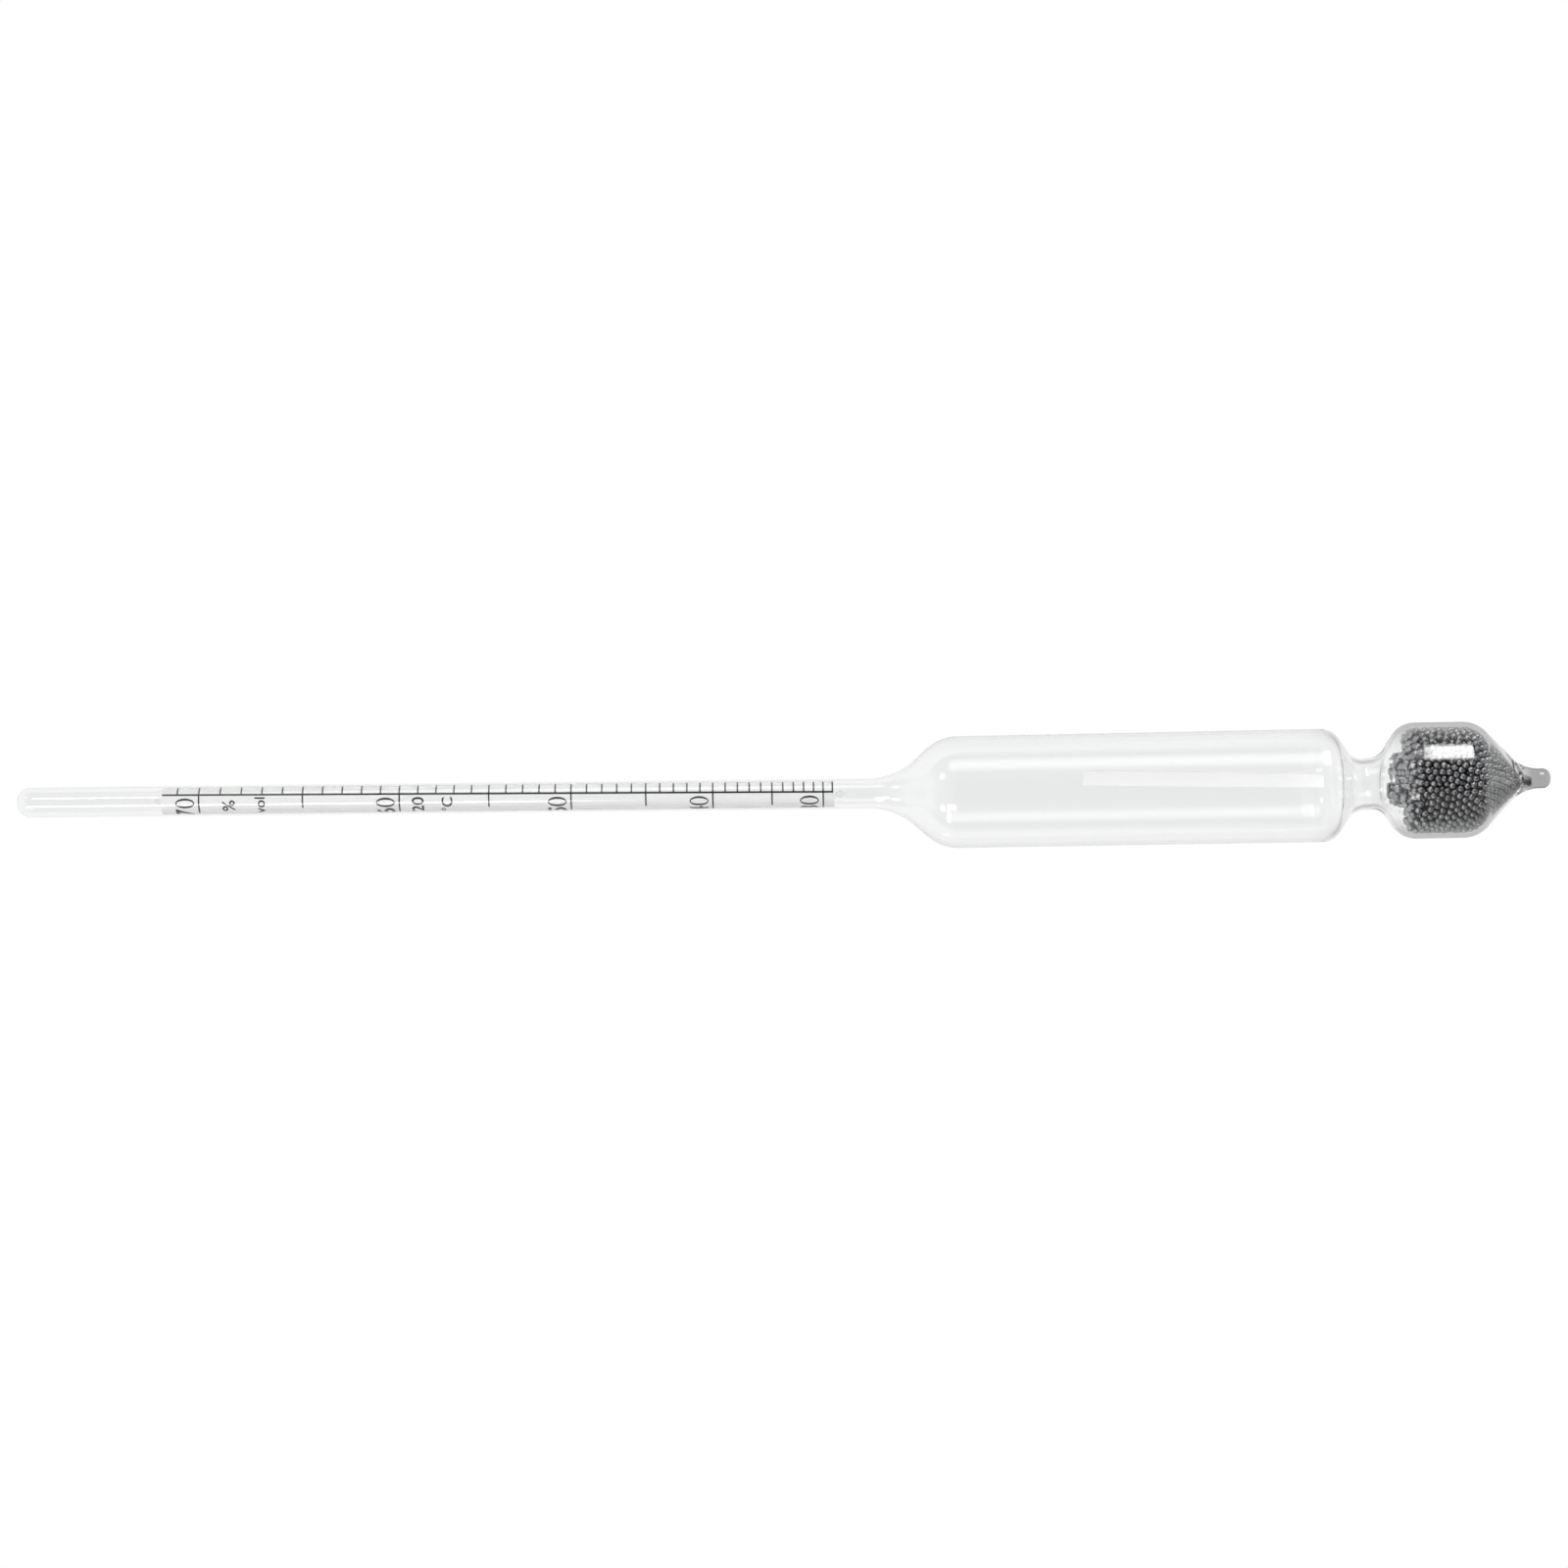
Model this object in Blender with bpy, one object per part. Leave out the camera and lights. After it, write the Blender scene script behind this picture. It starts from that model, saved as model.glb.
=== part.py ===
"""Glass alcoholmeter (spirit hydrometer) for 30 to 70 % vol, lying on its side with its stem towards -X.

Metres, +Z up. It is modelled upright, as it floats, with the stem's closed top at z = 0 and the ballast
bulb below, and an empty lays it down along X. The origin is then the middle of its bounding box, on the
surface that it lies on. A station is a distance along the axis, from the stem's top towards the tip.
"""

import math

import bmesh
import bpy
from mathutils import Euler, Matrix, Vector

# Overall sizes
LENGTH = 0.280
STEM_RADIUS = 0.00275
FLOAT_RADIUS = 0.01020
FLOAT_BOTTOM_RADIUS = 0.01034
NECK_RADIUS = 0.00475
BULB_RADIUS = 0.01062
TIP_RADIUS = 0.00182

# Stations where the outline turns
SHOULDER_TOP = 0.1602
SHOULDER_BOTTOM = 0.1686
FLOAT_BOTTOM = 0.2401
NECK_TOP = 0.24395
NECK_BOTTOM = 0.2489
BULB_TOP = 0.2527
BULB_BOTTOM = 0.26635
TIP_TOP = 0.2750
CAVITY_BOTTOM = 0.2763

# Glass walls
STEM_WALL = 0.00030
FLOAT_WALL = 0.00065
NECK_WALL = 0.00090
BULB_WALL = 0.00085

# Flame-sealed joints: the pieces stop this far apart there
STEM_JOINT = 0.1575
NECK_JOINT = 0.2423
GAP = 0.0003

# Handmade glass: the stem leans a little sideways and the bulb sits a little off the float's axis
STEM_LEAN = math.radians(0.43)
BULB_OFFSET = 0.00057

# Printed scale, rolled inside the stem
SCALE_TOP = 0.0266
SCALE_BOTTOM = 0.1491
SCALE_SEAM = math.radians(24)
PAPER = 0.00012

# Strip of paper inside the float
SLIP_TOP = 0.1945
SLIP_LENGTH = 0.0445
SLIP_WIDTH = 0.0028
SLIP_RADIUS = 0.0090
SLIP_MIDDLE = 0.0016
SLIP_SLANT = math.radians(1.8)

# Dabs of glue at the scale's ends
GLUE_HALF = Vector((0.00032, 0.00060, 0.00085))
GLUE_RADIUS = 0.00175

# Ballast shot
SHOT_RADIUS = 0.00056
SHOT_PITCH = 2 * SHOT_RADIUS + GAP
SHOT_RINGS = 3
SHOT_FACE = 0.2517
SHOT_SLOPE = math.radians(8)

# Facets: the flats touch the true round surface, so that one of them lies on the table
GLASS_SIDES = 32
STEM_SIDES = 20
BED_SIDES = 24
ARC_STEPS = 4
SCALE_STEPS = 28
SLIP_STEPS = 6
MERGE = 1e-6

SHARP = math.radians(35)


def clear_scene():
    for obj in list(bpy.data.objects):
        bpy.data.objects.remove(obj, do_unlink=True)


def material(name, colour, roughness, metallic=0.0, transmission=0.0, ior=1.5):
    made = bpy.data.materials.new(name)
    made.use_nodes = True
    shader = made.node_tree.nodes["Principled BSDF"]
    shader.inputs["Base Color"].default_value = (*colour, 1)
    shader.inputs["Roughness"].default_value = roughness
    shader.inputs["Metallic"].default_value = metallic
    shader.inputs["Transmission Weight"].default_value = transmission
    shader.inputs["IOR"].default_value = ior
    made.diffuse_color = (*colour, 1)
    return made


def add_object(name, mesh, finish, parent):
    obj = bpy.data.objects.new(name, mesh)
    obj.data.materials.append(finish)
    bpy.context.scene.collection.objects.link(obj)
    obj.parent = parent
    return obj


def mesh_from(name, bm):
    mesh = bpy.data.meshes.new(name)
    bm.to_mesh(mesh)
    bm.free()
    mesh.shade_smooth()
    mesh.set_sharp_from_angle(angle=SHARP)
    return mesh


def filleted(corners, steps=ARC_STEPS):
    """The outline through (station, radius, fillet) corners, each rounded by an arc of its fillet."""
    points = [Vector(corners[0][:2])]
    for before, corner, after in zip(corners, corners[1:], corners[2:]):
        here = Vector(corner[:2])
        back = (Vector(before[:2]) - here).normalized()
        ahead = (Vector(after[:2]) - here).normalized()
        half = back.angle(ahead) / 2
        reach = corner[2] / math.tan(half)
        centre = here + (back + ahead).normalized() * corner[2] / math.sin(half)
        first = here + back * reach - centre
        last = here + ahead * reach - centre
        sweep = math.pi - 2 * half
        for step in range(steps + 1):
            turn = sweep * step / steps
            spoke = first * math.sin(sweep - turn) + last * math.sin(turn)
            points.append(centre + spoke / math.sin(sweep))
    points.append(Vector(corners[-1][:2]))
    return points


def inset(corners, walls):
    """The same corners moved in through the glass by each one's wall, with their fillets to match."""
    inner = []
    for before, corner, after, wall in zip(corners, corners[1:], corners[2:], walls):
        here = Vector(corner[:2])
        arriving = (here - Vector(before[:2])).normalized()
        leaving = (Vector(after[:2]) - here).normalized()
        normals = Vector((arriving.y, -arriving.x)) + Vector((leaving.y, -leaving.x))
        moved = here + normals * wall / (1 + arriving.dot(leaving))
        bulges = arriving.cross(leaving) < 0
        inner.append((moved.x, moved.y, corner[2] - wall if bulges else corner[2] + wall))
    return inner


def radius_at(points, station):
    """The outline's radius at a station."""
    for start, end in zip(points, points[1:]):
        if start.x <= station <= end.x and end.x > start.x:
            return start.y + (end.y - start.y) * (station - start.x) / (end.x - start.x)
    return 0.0


def between(points, first, last):
    """The stretch of an outline from one station to another, with a point at each end."""
    stretch = [point for point in points if first - MERGE < point.x < last + MERGE]
    if stretch[0].x > first + MERGE:
        stretch.insert(0, Vector((first, radius_at(points, first))))
    if stretch[-1].x < last - MERGE:
        stretch.append(Vector((last, radius_at(points, last))))
    return stretch


def turned(name, outline, sides, finish, parent, closed=False):
    """A turned piece. Its outline is (station, radius) points, down the outside and up the inside."""
    bm = bmesh.new()
    flat = math.cos(math.pi / sides)
    verts = [bm.verts.new((radius / flat, 0, -station)) for station, radius in outline]
    for start, end in zip(verts, verts[1:]):
        bm.edges.new((start, end))
    if closed:
        bm.edges.new((verts[-1], verts[0]))
    obj = add_object(name, mesh_from(name, bm), finish, parent)
    obj.rotation_euler.z = math.pi / sides
    screw = obj.modifiers.new("Turn", "SCREW")
    screw.axis = "Z"
    screw.steps = sides
    screw.render_steps = sides
    screw.use_merge_vertices = True
    screw.merge_threshold = MERGE
    screw.use_smooth_shade = True
    return obj


def frame():
    """The empties that lay the hydrometer down, lean its stem and carry its bulb off the axis."""
    laid = bpy.data.objects.new("laid_down", None)
    laid.location = (-LENGTH / 2, -(BULB_OFFSET + BULB_RADIUS - FLOAT_BOTTOM_RADIUS) / 2, BULB_RADIUS)
    laid.rotation_euler.y = -math.pi / 2
    stem = bpy.data.objects.new("stem_axis", None)
    stem.parent = laid
    joint = Matrix.Translation((0, 0, -STEM_JOINT))
    stem.matrix_basis = joint @ Matrix.Rotation(-STEM_LEAN, 4, "X") @ joint.inverted()
    bulb = bpy.data.objects.new("bulb_axis", None)
    bulb.parent = laid
    bulb.location.y = BULB_OFFSET
    for empty in (laid, stem, bulb):
        bpy.context.scene.collection.objects.link(empty)
    return laid, stem, bulb


def glass_outlines():
    """The envelope's outer and inner outlines, from the stem's top to the tip."""
    outer = [
        (0.0, 0.0, 0.0),
        (0.0, STEM_RADIUS, 0.0023),
        (SHOULDER_TOP, STEM_RADIUS, 0.0125),
        (SHOULDER_BOTTOM, FLOAT_RADIUS, 0.0087),
        (FLOAT_BOTTOM, FLOAT_BOTTOM_RADIUS, 0.0037),
        (NECK_TOP, NECK_RADIUS, 0.0040),
        (NECK_BOTTOM, NECK_RADIUS, 0.0033),
        (BULB_TOP, BULB_RADIUS, 0.0049),
        (BULB_BOTTOM, BULB_RADIUS, 0.0057),
        (TIP_TOP, TIP_RADIUS, 0.0071),
        (LENGTH, TIP_RADIUS, 0.0014),
        (LENGTH, 0.0, 0.0),
    ]
    walls = [STEM_WALL, STEM_WALL, FLOAT_WALL, FLOAT_WALL, NECK_WALL, NECK_WALL, BULB_WALL, BULB_WALL]
    cavity = [(STEM_WALL, 0.0, 0.0), *inset(outer[:10], walls), (CAVITY_BOTTOM, 0.0, 0.0)]
    return filleted(outer), filleted(cavity)


def add_glass(outer, inner, laid, stem, bulb):
    glass = material("clear_glass", (0.93, 0.95, 0.95), 0.02, transmission=1.0, ior=1.48)
    wall = between(outer, 0, STEM_JOINT) + between(inner, STEM_WALL, STEM_JOINT)[::-1]
    turned("stem_tube", wall, STEM_SIDES, glass, stem)
    ends = (STEM_JOINT + GAP, NECK_JOINT)
    wall = between(outer, *ends) + between(inner, *ends)[::-1]
    turned("float_body", wall, GLASS_SIDES, glass, laid, closed=True)
    top = NECK_JOINT + GAP
    wall = between(inner, top, CAVITY_BOTTOM)[::-1] + between(outer, top, LENGTH)
    turned("ballast_bulb", wall, GLASS_SIDES, glass, bulb)


def add_scale(stem):
    paper = material("scale_paper", (0.90, 0.90, 0.88), 0.8)
    radius = STEM_RADIUS - STEM_WALL - GAP
    bm = bmesh.new()
    rows = []
    for station in (SCALE_TOP, SCALE_BOTTOM):
        row = []
        for step in range(SCALE_STEPS + 1):
            turn = SCALE_SEAM / 2 + (2 * math.pi - SCALE_SEAM) * step / SCALE_STEPS - math.pi
            row.append(bm.verts.new((radius * math.cos(turn), radius * math.sin(turn), -station)))
        rows.append(row)
    for i in range(SCALE_STEPS):
        bm.faces.new((rows[1][i], rows[1][i + 1], rows[0][i + 1], rows[0][i]))
    scale = add_object("scale_paper", mesh_from("scale_paper", bm), paper, stem)
    sheet = scale.modifiers.new("Paper", "SOLIDIFY")
    sheet.thickness = PAPER
    sheet.offset = -1

    glue = material("clear_glue", (0.80, 0.76, 0.62), 0.35)
    reach = GLUE_HALF.z + GAP
    ends = {"scale_glue_top": SCALE_TOP - reach, "scale_glue_bottom": SCALE_BOTTOM + reach}
    for name, station in ends.items():
        bm = bmesh.new()
        bmesh.ops.create_icosphere(bm, subdivisions=2, radius=1, matrix=Matrix.Diagonal(GLUE_HALF).to_4x4())
        dab = add_object(name, mesh_from(name, bm), glue, stem)
        dab.location = (-GLUE_RADIUS, 0, -station)


def add_slip(laid):
    paper = material("slip_paper", (0.92, 0.92, 0.91), 0.8)
    bm = bmesh.new()
    bmesh.ops.create_grid(bm, x_segments=SLIP_STEPS, y_segments=1, size=0.5)
    bmesh.ops.rotate(bm, cent=(0, 0, 0), matrix=Matrix.Rotation(-math.pi / 2, 3, "Y"), verts=bm.verts)
    bmesh.ops.scale(bm, vec=(1, SLIP_WIDTH, SLIP_LENGTH), verts=bm.verts)
    slip = add_object("paper_slip", mesh_from("paper_slip", bm), paper, laid)
    around = math.asin(SLIP_MIDDLE / SLIP_RADIUS)
    down = -SLIP_RADIUS * math.cos(around)
    slip.location = (down, SLIP_MIDDLE, -SLIP_TOP - SLIP_LENGTH / 2)
    turn = Matrix.Rotation(-around, 4, "Z") @ Matrix.Rotation(-SLIP_SLANT, 4, "X")
    slip.rotation_euler = turn.to_euler()
    sheet = slip.modifiers.new("Paper", "SOLIDIFY")
    sheet.thickness = PAPER
    sheet.offset = 0


def add_bed(inner, shot, bulb):
    """The packed shot as one solid that fills the bulb, cut off by its sloping free face."""
    room = [(station, radius - GAP) for station, radius in between(inner, NECK_BOTTOM, CAVITY_BOTTOM)]
    fill = [(station, radius) for station, radius in room if radius > 0]
    outline = [(fill[0][0], 0.0), *fill, (fill[-1][0] + GAP, 0.0)]
    bm = bmesh.new()
    verts = [bm.verts.new((radius, 0, -station)) for station, radius in outline]
    profile = [bm.edges.new(pair) for pair in zip(verts, verts[1:])]
    turn = {"cent": (0, 0, 0), "axis": (0, 0, 1), "angle": 2 * math.pi, "steps": BED_SIDES}
    bmesh.ops.spin(bm, geom=verts + profile, use_merge=True, **turn)
    bmesh.ops.remove_doubles(bm, verts=bm.verts, dist=MERGE)
    across = Vector((0, math.sin(SHOT_SLOPE), math.cos(SHOT_SLOPE)))
    solid = bm.verts[:] + bm.edges[:] + bm.faces[:]
    face = {"plane_co": (0, 0, -SHOT_FACE), "plane_no": across}
    cut = bmesh.ops.bisect_plane(bm, geom=solid, clear_outer=True, **face)
    rim = [piece for piece in cut["geom_cut"] if isinstance(piece, bmesh.types.BMEdge)]
    bmesh.ops.contextual_create(bm, geom=rim)
    bmesh.ops.recalc_face_normals(bm, faces=bm.faces)
    add_object("shot_bed", mesh_from("shot_bed", bm), shot, bulb)


def add_face_layer(shot, bulb):
    """The separate balls that lie on the bed's free face, in a hexagon of rings."""
    bm = bmesh.new()
    bmesh.ops.create_icosphere(bm, subdivisions=2, radius=SHOT_RADIUS)
    ball = mesh_from("shot", bm)
    ball.materials.append(shot)
    slope = Euler((-SHOT_SLOPE, 0, 0)).to_matrix()
    count = 0
    for across in range(-SHOT_RINGS, SHOT_RINGS + 1):
        for along in range(-SHOT_RINGS, SHOT_RINGS + 1):
            if abs(across + along) > SHOT_RINGS:
                continue
            flat = Vector(((along + across / 2) * SHOT_PITCH, across * SHOT_PITCH * math.sqrt(0.75), 0))
            count += 1
            obj = bpy.data.objects.new(f"shot_{count:02d}", ball)
            bpy.context.scene.collection.objects.link(obj)
            obj.parent = bulb
            lift = Vector((0, 0, SHOT_RADIUS + GAP))
            obj.location = Vector((0, 0, -SHOT_FACE)) + slope @ (flat + lift)


def main():
    clear_scene()
    laid, stem, bulb = frame()
    outer, inner = glass_outlines()
    add_glass(outer, inner, laid, stem, bulb)
    add_scale(stem)
    add_slip(laid)
    shot = material("polished_shot", (0.35, 0.35, 0.36), 0.25, metallic=1.0)
    add_bed(inner, shot, bulb)
    add_face_layer(shot, bulb)


main()
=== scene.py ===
"""The looks of the glass spirit hydrometer: one fused glass envelope, a printed paper scale rolled in the
stem, a strip of paper in the float and some thousands of ballast balls in the bulb. Metres, +Z up. A
station is a distance along the axis, from the stem's closed top towards the drawn tip."""

import math

import bmesh
import bpy
import numpy as np
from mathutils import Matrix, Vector


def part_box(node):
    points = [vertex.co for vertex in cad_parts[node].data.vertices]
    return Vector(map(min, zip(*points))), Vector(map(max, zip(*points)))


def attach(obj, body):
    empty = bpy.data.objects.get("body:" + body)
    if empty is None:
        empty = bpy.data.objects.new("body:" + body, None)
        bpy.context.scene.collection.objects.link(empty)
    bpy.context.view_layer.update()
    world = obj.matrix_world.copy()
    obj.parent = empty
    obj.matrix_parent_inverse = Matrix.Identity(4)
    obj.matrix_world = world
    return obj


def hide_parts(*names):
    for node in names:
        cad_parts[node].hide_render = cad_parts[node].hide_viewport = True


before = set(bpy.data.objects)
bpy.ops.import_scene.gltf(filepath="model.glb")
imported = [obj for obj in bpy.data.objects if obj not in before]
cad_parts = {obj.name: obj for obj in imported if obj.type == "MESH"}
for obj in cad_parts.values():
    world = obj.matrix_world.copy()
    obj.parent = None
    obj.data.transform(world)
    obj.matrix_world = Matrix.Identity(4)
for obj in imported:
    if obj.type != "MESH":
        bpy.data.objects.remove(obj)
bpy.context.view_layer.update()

MM = 0.001

# ---------------------------------------------------------------------------------------------------
# Places, read from the CAD model
# ---------------------------------------------------------------------------------------------------

stem_low, stem_high = (Vector(corner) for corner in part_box("stem_tube"))
float_low, float_high = (Vector(corner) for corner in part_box("float_body"))
bulb_low, bulb_high = (Vector(corner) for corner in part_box("ballast_bulb"))
scale_low, scale_high = (Vector(corner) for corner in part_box("scale_paper"))
slip_low, slip_high = (Vector(corner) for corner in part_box("paper_slip"))

TOP_X = stem_low.x
LENGTH = bulb_high.x - stem_low.x
AXIS_Z = (bulb_low.z + bulb_high.z) / 2
FLOAT_Y = (float_low.y + float_high.y) / 2
BULB_OFFSET = (bulb_low.y + bulb_high.y) / 2 - FLOAT_Y
FLOAT_BOTTOM_RADIUS = (float_high.z - float_low.z) / 2
BULB_RADIUS = (bulb_high.z - bulb_low.z) / 2
STEM_JOINT = stem_high.x - TOP_X

# The rest of the glass outline and its walls, as the CAD model has them
STEM_RADIUS = 2.75 * MM
FLOAT_RADIUS = 10.20 * MM
NECK_RADIUS = 4.75 * MM
TIP_RADIUS = 1.82 * MM
SHOULDER_TOP = 160.2 * MM
SHOULDER_BOTTOM = 168.6 * MM
FLOAT_BOTTOM = 240.1 * MM
NECK_TOP = 243.95 * MM
NECK_BOTTOM = 248.9 * MM
BULB_TOP = 252.7 * MM
BULB_BOTTOM = 266.35 * MM
TIP_TOP = 275.0 * MM
STEM_WALL = 0.30 * MM
FLOAT_WALL = 0.65 * MM
NECK_WALL = 0.90 * MM
BULB_WALL = 0.85 * MM

# The cavity narrows to a funnel in the drawn tip, which the CAD model leaves plainer. It ends in a small
# round and sits a little to one side there.
CAVITY_BOTTOM = 276.4 * MM
CAVITY_END_RADIUS = 0.62 * MM
CAVITY_END_LEAST = 0.01 * MM
CAVITY_END_ROUND = 0.7
FUNNEL_WALL = 0.76 * MM
FUNNEL_FILLET = 1.0 * MM
APEX_OFFSET = 0.45 * MM
OFFSET_START = 269.5 * MM

# The stem's sideways lean per length, and how softly it starts at the joint with the float
LEAN = (stem_high.y - STEM_RADIUS - FLOAT_Y) / STEM_JOINT
LEAN_BLEND = 5 * MM

# How finely the shapes are made
SHARP_ANGLE = math.radians(50)
GLASS_SIDES = 144
ARC_STEPS = 16
LONGEST_RING_GAP = 2.0 * MM
ON_AXIS = 1e-7


# ---------------------------------------------------------------------------------------------------
# Small tools
# ---------------------------------------------------------------------------------------------------

def smoothstep(low, high, value):
    """From 0 at low to 1 at high, with a level start and end."""
    t = np.clip((value - low) / (high - low), 0, 1)
    return t * t * (3 - 2 * t)


def centre_y(station):
    """The glass axis's sideways place: the stem leans from its joint up, and the bulb sits off the axis."""
    above = STEM_JOINT - station
    lean = LEAN * (above + np.sqrt(above * above + LEAN_BLEND * LEAN_BLEND)) / 2
    return FLOAT_Y + lean + BULB_OFFSET * smoothstep(NECK_TOP, BULB_TOP, station)


def add_piece(name, verts, faces, finish, slot, *nodes):
    """A mesh piece that rides on the root body and stands for some CAD nodes."""
    mesh = bpy.data.meshes.new(name)
    mesh.from_pydata([tuple(v) for v in verts], [], faces)
    mesh.validate()
    mesh.shade_smooth()
    mesh.set_sharp_from_angle(angle=SHARP_ANGLE)
    obj = bpy.data.objects.new(name, mesh)
    obj.data.materials.append(finish)
    bpy.context.scene.collection.objects.link(obj)
    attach(obj, "root")
    if nodes:
        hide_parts(*nodes)
    return obj


def filleted(corners, steps=ARC_STEPS):
    """The outline through (station, radius, fillet) corners, each rounded by an arc of its fillet."""
    points = [Vector(corners[0][:2])]
    for before, corner, after in zip(corners, corners[1:], corners[2:]):
        here = Vector(corner[:2])
        back = (Vector(before[:2]) - here).normalized()
        ahead = (Vector(after[:2]) - here).normalized()
        half = back.angle(ahead) / 2
        reach = corner[2] / math.tan(half)
        centre = here + (back + ahead).normalized() * corner[2] / math.sin(half)
        first = here + back * reach - centre
        last = here + ahead * reach - centre
        sweep = math.pi - 2 * half
        for step in range(steps + 1):
            turn = sweep * step / steps
            spoke = first * math.sin(sweep - turn) + last * math.sin(turn)
            points.append(centre + spoke / math.sin(sweep))
    points.append(Vector(corners[-1][:2]))
    return np.array([tuple(p) for p in points])


def inset(corners, walls):
    """The same corners moved in through the glass by each one's wall, with their fillets to match."""
    inner = []
    for before, corner, after, wall in zip(corners, corners[1:], corners[2:], walls):
        here = Vector(corner[:2])
        arriving = (here - Vector(before[:2])).normalized()
        leaving = (Vector(after[:2]) - here).normalized()
        normals = Vector((arriving.y, -arriving.x)) + Vector((leaving.y, -leaving.x))
        moved = here + normals * wall / (1 + arriving.dot(leaving))
        bulges = arriving.cross(leaving) < 0
        inner.append((moved.x, moved.y, corner[2] - wall if bulges else corner[2] + wall))
    return inner


def finely(points, longest):
    """The outline with no stretch longer than this."""
    fine = [points[0]]
    for start, end in zip(points, points[1:]):
        count = max(1, math.ceil(np.linalg.norm(end - start) / longest))
        for step in range(1, count + 1):
            fine.append(start + (end - start) * step / count)
    return np.array(fine)


def cavity_y(station):
    """The middle of the cavity, which was drawn a little to one side at the tip."""
    return centre_y(station) - APEX_OFFSET * smoothstep(OFFSET_START, CAVITY_BOTTOM, station)


def lathe(outline, sides, inward=False):
    """Vertices and faces of an outline turned about the glass axis, with its faces out or in."""
    angles = np.arange(sides) * 2 * math.pi / sides
    verts, rings = [], []
    for station, radius in outline:
        y0 = cavity_y(station) if inward else centre_y(station)
        first = len(verts)
        if radius < ON_AXIS:
            verts.append((TOP_X + station, y0, AXIS_Z))
            rings.append([first] * sides)
            continue
        for angle in angles:
            y = y0 + radius * math.sin(angle)
            verts.append((TOP_X + station, y, AXIS_Z + radius * math.cos(angle)))
        rings.append(list(range(first, first + sides)))
    faces = []
    for low, high in zip(rings, rings[1:]):
        for i in range(sides):
            j = (i + 1) % sides
            corners = [low[i], low[j], high[j], high[i]]
            loop = [c for k, c in enumerate(corners) if c != corners[k - 1]]
            if len(set(loop)) > 2:
                faces.append(loop if inward else loop[::-1])
    return verts, faces


def thin_sheet(rows, columns, lifts, point):
    """A closed thin sheet: a grid of points at each of two lifts, and a rim that joins the two.
    point gives a grid point from its shares along and across and its lift."""
    verts, faces = [], []
    for lift in lifts:
        for i in range(rows + 1):
            verts += [point(i / rows, j / columns, lift) for j in range(columns + 1)]
    row = columns + 1
    second = row * (rows + 1)
    for i in range(rows):
        for j in range(columns):
            a = i * row + j
            quad = [a, a + 1, a + row + 1, a + row]
            faces += [quad[::-1], [corner + second for corner in quad]]
    rim = list(range(columns)) + [i * row + columns for i in range(rows)]
    rim += [rows * row + j for j in range(columns, 0, -1)] + [i * row for i in range(rows, 0, -1)]
    for a, b in zip(rim, rim[1:] + rim[:1]):
        faces.append([a, b, b + second, a + second])
    return verts, faces


# ---------------------------------------------------------------------------------------------------
# Materials
# ---------------------------------------------------------------------------------------------------

def new_material(name):
    """A material with its nodes, its links and its Principled BSDF."""
    made = bpy.data.materials.new(name)
    made.use_nodes = True
    tree = made.node_tree
    return made, tree.nodes, tree.links, tree.nodes["Principled BSDF"]


def set_inputs(node, **values):
    """Sets a node's inputs by name, with _ for a space."""
    for name, value in values.items():
        node.inputs[name.replace("_", " ")].default_value = value


FINE_RELIEF = 0.02 * MM


def mapped_noise(nodes, links, scale, stretch=(1, 1, 1), detail=4.0, roughness=0.5):
    """A noise texture in object space, stretched by a mapping."""
    place = nodes.new("ShaderNodeTexCoord")
    mapping = nodes.new("ShaderNodeMapping")
    mapping.inputs["Scale"].default_value = stretch
    grain = nodes.new("ShaderNodeTexNoise")
    set_inputs(grain, Scale=scale, Detail=detail, Roughness=roughness)
    links.new(place.outputs["Object"], mapping.inputs["Vector"])
    links.new(mapping.outputs["Vector"], grain.inputs["Vector"])
    return grain


def tone_ramp(nodes, links, source, low, high):
    """The colour between two (position, colour) stops, for a value."""
    ramp = nodes.new("ShaderNodeValToRGB")
    for stop, (position, colour) in zip(ramp.color_ramp.elements, (low, high)):
        stop.position = position
        stop.color = (*colour, 1)
    links.new(source, ramp.inputs["Fac"])
    return ramp.outputs["Color"]


def math_node(nodes, links, operation, *operands):
    """The result of a Math node. Each operand is a number or another node's output."""
    node = nodes.new("ShaderNodeMath")
    node.operation = operation
    for socket, operand in zip(node.inputs, operands):
        if isinstance(operand, (int, float)):
            socket.default_value = operand
        else:
            links.new(operand, socket)
    return node.outputs[0]


def shader_mix(nodes, links, share, first, second):
    """The first shader where share is 0, the second where it is 1."""
    mix = nodes.new("ShaderNodeMixShader")
    links.new(share, mix.inputs["Fac"])
    links.new(first, mix.inputs[1])
    links.new(second, mix.inputs[2])
    return mix.outputs["Shader"]


def white_glow(nodes, strength=1.0):
    """An Emission node of plain white."""
    glow = nodes.new("ShaderNodeEmission")
    set_inputs(glow, Color=(1, 1, 1, 1), Strength=strength)
    return glow


def add_bump(nodes, links, shader, height, strength, distance):
    """Fine relief on a surface: height is 0 to 1, and distance is its depth in metres."""
    bump = nodes.new("ShaderNodeBump")
    set_inputs(bump, Strength=strength, Distance=distance)
    links.new(height, bump.inputs["Height"])
    links.new(bump.outputs["Normal"], shader.inputs["Normal"])


# Glass: its tone, greyed along the drawn tip by painted shade for the shadow seen through it, and the
# tone that lamps light the inside through
GLASS_TONE = (0.985, 0.99, 0.988)
PAINTED_TIP_SHADE = (0.43, 0.43, 0.43)
PAINTED_TIP_SHADE_START = 0.55
GLASS_IOR = 1.50
GLASS_SHADE = 0.98

# Light that the glass wall carries on for more than this many bounces shows as a painted glow: an even
# pale tone that the glass gives off though it is no lamp. The limit is lower within reach of the weld
# between the float and the neck.
GUIDED_DEPTH = 10
PAINTED_WALL_GLOW = 0.85
WELD_DEPTH = 4
WELD_MIDDLE = 243.0 * MM
WELD_REACH = 3.6 * MM


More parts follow.
